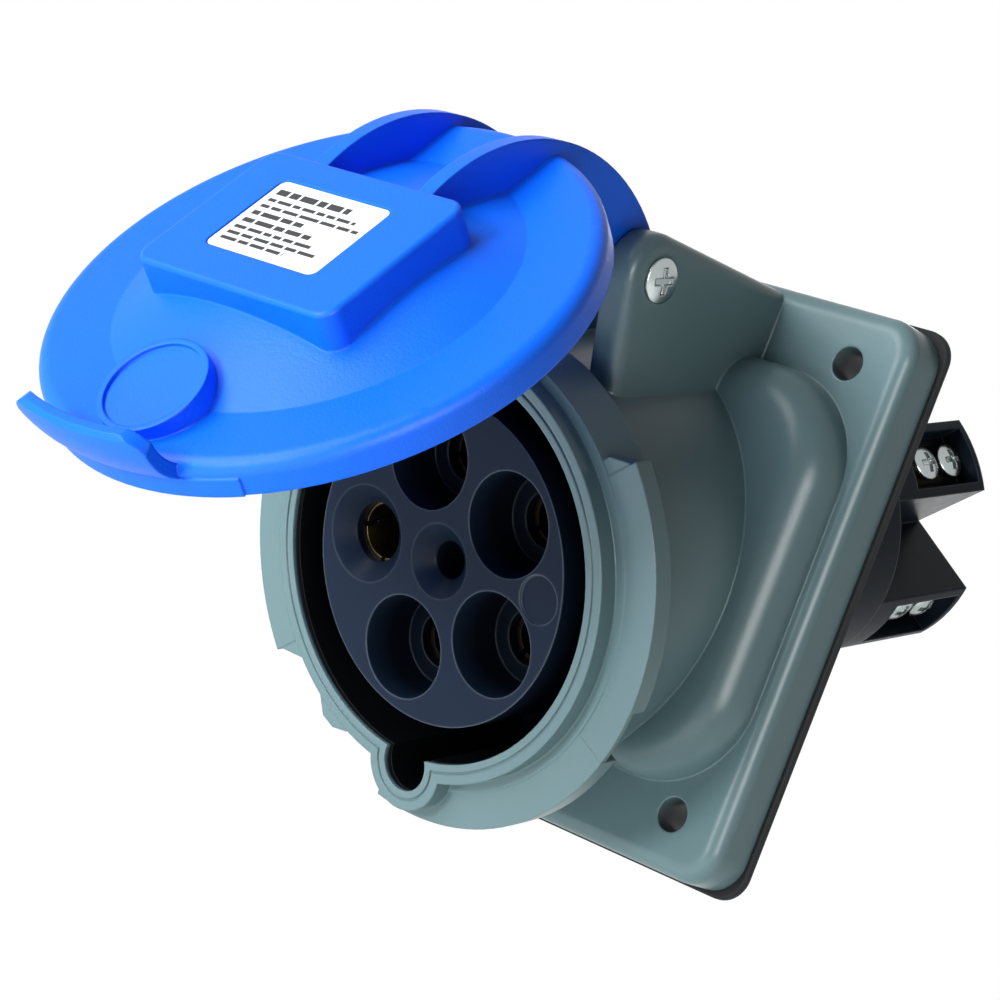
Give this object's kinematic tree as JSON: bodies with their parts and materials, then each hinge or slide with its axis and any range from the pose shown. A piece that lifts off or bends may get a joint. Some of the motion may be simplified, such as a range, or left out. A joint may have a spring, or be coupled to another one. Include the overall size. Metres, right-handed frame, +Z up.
{
  "type": "pin and sleeve receptacle",
  "caption": "Angled panel-mounted pin and sleeve receptacle with a square flange, a keyed round mouth with recessed contacts, rear screw terminals and a hinged domed lid.",
  "frame": {"origin": "centre of the mounting holes, on the panel behind the gasket", "axes": "+Z up, +Y back into the panel, the mouth faces -Y and is tilted down by 20 degrees"},
  "size_m": [0.1028, 0.2237, 0.1186],
  "materials": {
    "grey_plastic": "fine moulded texture",
    "black_plastic": "satin",
    "black_rubber": "matt",
    "blue_plastic": "satin moulded",
    "white_label": "printed film",
    "brass": "turned",
    "zinc_steel": "zinc plated",
    "spring_steel": "drawn wire"
  },
  "bodies": {
    "socket": {"housing": "grey_plastic", "mouth_ring": "grey_plastic", "flange_gasket": "black_rubber", "bore_liner": "black_plastic", "liner_seal": "black_rubber", "contact_insert": "black_plastic", "insert_base": "black_plastic", "insert_screws": "zinc_steel", "terminal_carrier": "black_plastic", "carrier_screws": "zinc_steel", "earth_contact": "brass", "neutral_contact": "brass", "line_1_contact": "brass", "line_2_contact": "brass", "line_3_contact": "brass", "pilot_contact": "brass", "contact_springs": "spring_steel", "earth_screws": "zinc_steel", "neutral_screws": "zinc_steel", "line_1_screws": "zinc_steel", "line_2_screws": "zinc_steel", "line_3_screws": "zinc_steel", "pilot_screw": "zinc_steel", "hinge_screw": "zinc_steel", "hinge_nut": "zinc_steel"},
    "lid": {"lid": "blue_plastic", "lid_seal": "black_rubber", "lid_label": "white_label", "lid_spring": "spring_steel"}
  },
  "joints": [
    {"name": "lid_hinge", "type": "hinge", "parent": "socket", "child": "lid", "pos_m": [0, -0.04749, 0.043], "axis": [-1, 0, 0], "range_deg": [-58, 42]}
  ]
}
